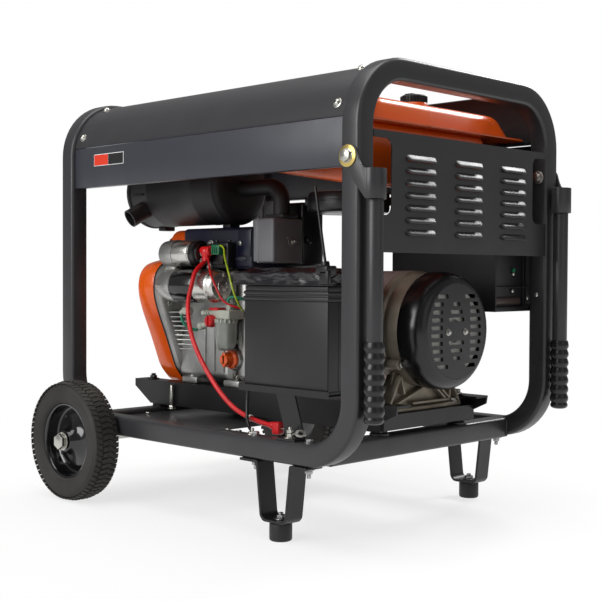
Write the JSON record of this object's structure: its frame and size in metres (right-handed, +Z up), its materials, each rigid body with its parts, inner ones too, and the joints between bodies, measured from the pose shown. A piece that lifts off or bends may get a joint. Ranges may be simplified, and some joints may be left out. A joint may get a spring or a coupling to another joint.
{
  "type": "engine driven welder",
  "caption": "Open tube frame on wheels and rubber feet carrying an engine, alternator, fuel tank, starting battery and welding control box, with swing-down lift handles.",
  "frame": {"origin": "on the ground under the middle of the machine's overall length and width", "axes": "+X towards the alternator end, +Y towards the control box side, +Z up"},
  "size_m": [0.7617, 0.6224, 0.696],
  "materials": {
    "charcoal_powder_coat": "semi-gloss powder coat",
    "panel_powder_coat": "semi-gloss powder coat",
    "orange_enamel": "gloss enamel",
    "black_enamel": "gloss enamel",
    "heatproof_black": "matte heatproof paint",
    "cast_aluminium": "as cast",
    "machined_steel": "machined",
    "zinc_plate": "zinc plated",
    "black_rubber": "moulded",
    "tyre_rubber": "moulded tread",
    "black_plastic": "satin moulded",
    "red_pvc": "soft PVC",
    "pale_filter_plastic": "moulded",
    "brass": "turned"
  },
  "bodies": {
    "frame": {"frame_wheel_end": "charcoal_powder_coat", "frame_alternator_end": "charcoal_powder_coat", "cover_near": "charcoal_powder_coat", "cover_far": "charcoal_powder_coat", "side_panel_near": "panel_powder_coat", "side_panel_far": "panel_powder_coat", "badge_plate": "red_pvc", "heat_shield": "charcoal_powder_coat", "foot_bracket_near": "black_enamel", "foot_bracket_far": "black_enamel", "foot_rubber_near": "black_rubber", "foot_rubber_far": "black_rubber", "axle": "zinc_plate", "pivot_bolt_near": "zinc_plate", "pivot_bolt_far": "zinc_plate", "engine_subframe": "black_enamel", "mount_near_wheel_end": "black_rubber", "mount_far_wheel_end": "black_rubber", "mount_near_alternator_end": "black_rubber", "mount_far_alternator_end": "black_rubber", "crankcase": "cast_aluminium", "fan_shroud": "orange_enamel", "cylinder_duct": "black_enamel", "head_cover": "cast_aluminium", "air_cleaner": "black_plastic", "muffler": "heatproof_black", "starter_motor": "black_enamel", "solenoid": "zinc_plate", "terminal_boot": "red_pvc", "fuel_filter": "pale_filter_plastic", "alternator_bell": "cast_aluminium", "stator_drum": "cast_aluminium", "alternator_end_bracket": "cast_aluminium", "alternator_end_cover": "black_plastic", "fuel_tank": "orange_enamel", "battery_case": "black_plastic", "battery_cover": "black_plastic", "battery_tray": "black_enamel", "battery_lead": "red_pvc", "lead_lug_boot": "red_pvc", "ground_lead": "black_plastic", "control_box": "charcoal_powder_coat", "weld_terminal_positive": "brass", "weld_terminal_negative": "brass"},
    "handle_near": {"handle_near": "charcoal_powder_coat", "grip_near": "black_rubber"},
    "handle_far": {"handle_far": "charcoal_powder_coat", "grip_far": "black_rubber"},
    "wheel_near": {"rim_near": "black_enamel", "tyre_near": "tyre_rubber"},
    "wheel_far": {"rim_far": "black_enamel", "tyre_far": "tyre_rubber"},
    "rotating_group": {"crankshaft": "machined_steel", "flywheel": "machined_steel", "alternator_rotor": "machined_steel"},
    "fuel_cap": {"fuel_cap": "black_plastic"},
    "oil_plug": {"oil_plug": "orange_enamel"},
    "key_switch": {"key_switch": "zinc_plate"},
    "current_knob": {"current_knob": "black_plastic"},
    "breaker_toggle": {"breaker_toggle": "black_plastic"}
  },
  "joints": [
    {"name": "near_handle_swing", "type": "hinge", "parent": "frame", "child": "handle_near", "pos_m": [0.3365, -0.2493, 0.5517], "axis": [0, -1, 0], "range_deg": [0, 90]},
    {"name": "far_handle_swing", "type": "hinge", "parent": "frame", "child": "handle_far", "pos_m": [0.3365, 0.2493, 0.5517], "axis": [0, -1, 0], "range_deg": [0, 90]},
    {"name": "near_wheel_spin", "type": "hinge", "parent": "frame", "child": "wheel_near", "pos_m": [-0.274, -0.277, 0.103], "axis": [0, 1, 0], "continuous": true},
    {"name": "far_wheel_spin", "type": "hinge", "parent": "frame", "child": "wheel_far", "pos_m": [-0.274, 0.277, 0.103], "axis": [0, 1, 0], "continuous": true},
    {"name": "engine_rotation", "type": "hinge", "parent": "frame", "child": "rotating_group", "pos_m": [0, 0, 0.305], "axis": [1, 0, 0], "continuous": true},
    {"name": "fuel_cap_turn", "type": "hinge", "parent": "frame", "child": "fuel_cap", "pos_m": [0.257, -0.012, 0.655], "axis": [0, 0, 1], "range_deg": [0, 90]},
    {"name": "oil_plug_turn", "type": "hinge", "parent": "frame", "child": "oil_plug", "pos_m": [-0.055, -0.116, 0.246], "axis": [0, -1, 0], "range_deg": [0, 180]},
    {"name": "key_switch_turn", "type": "hinge", "parent": "frame", "child": "key_switch", "pos_m": [0.292, 0.2433, 0.432], "axis": [0, -1, 0], "range_deg": [0, 90]},
    {"name": "current_knob_turn", "type": "hinge", "parent": "frame", "child": "current_knob", "pos_m": [0.152, 0.2433, 0.425], "axis": [0, -1, 0], "range_deg": [-135, 135]},
    {"name": "breaker_toggle_rock", "type": "hinge", "parent": "frame", "child": "breaker_toggle", "pos_m": [0.222, 0.2438, 0.433], "axis": [1, 0, 0], "range_deg": [0, 20]}
  ]
}
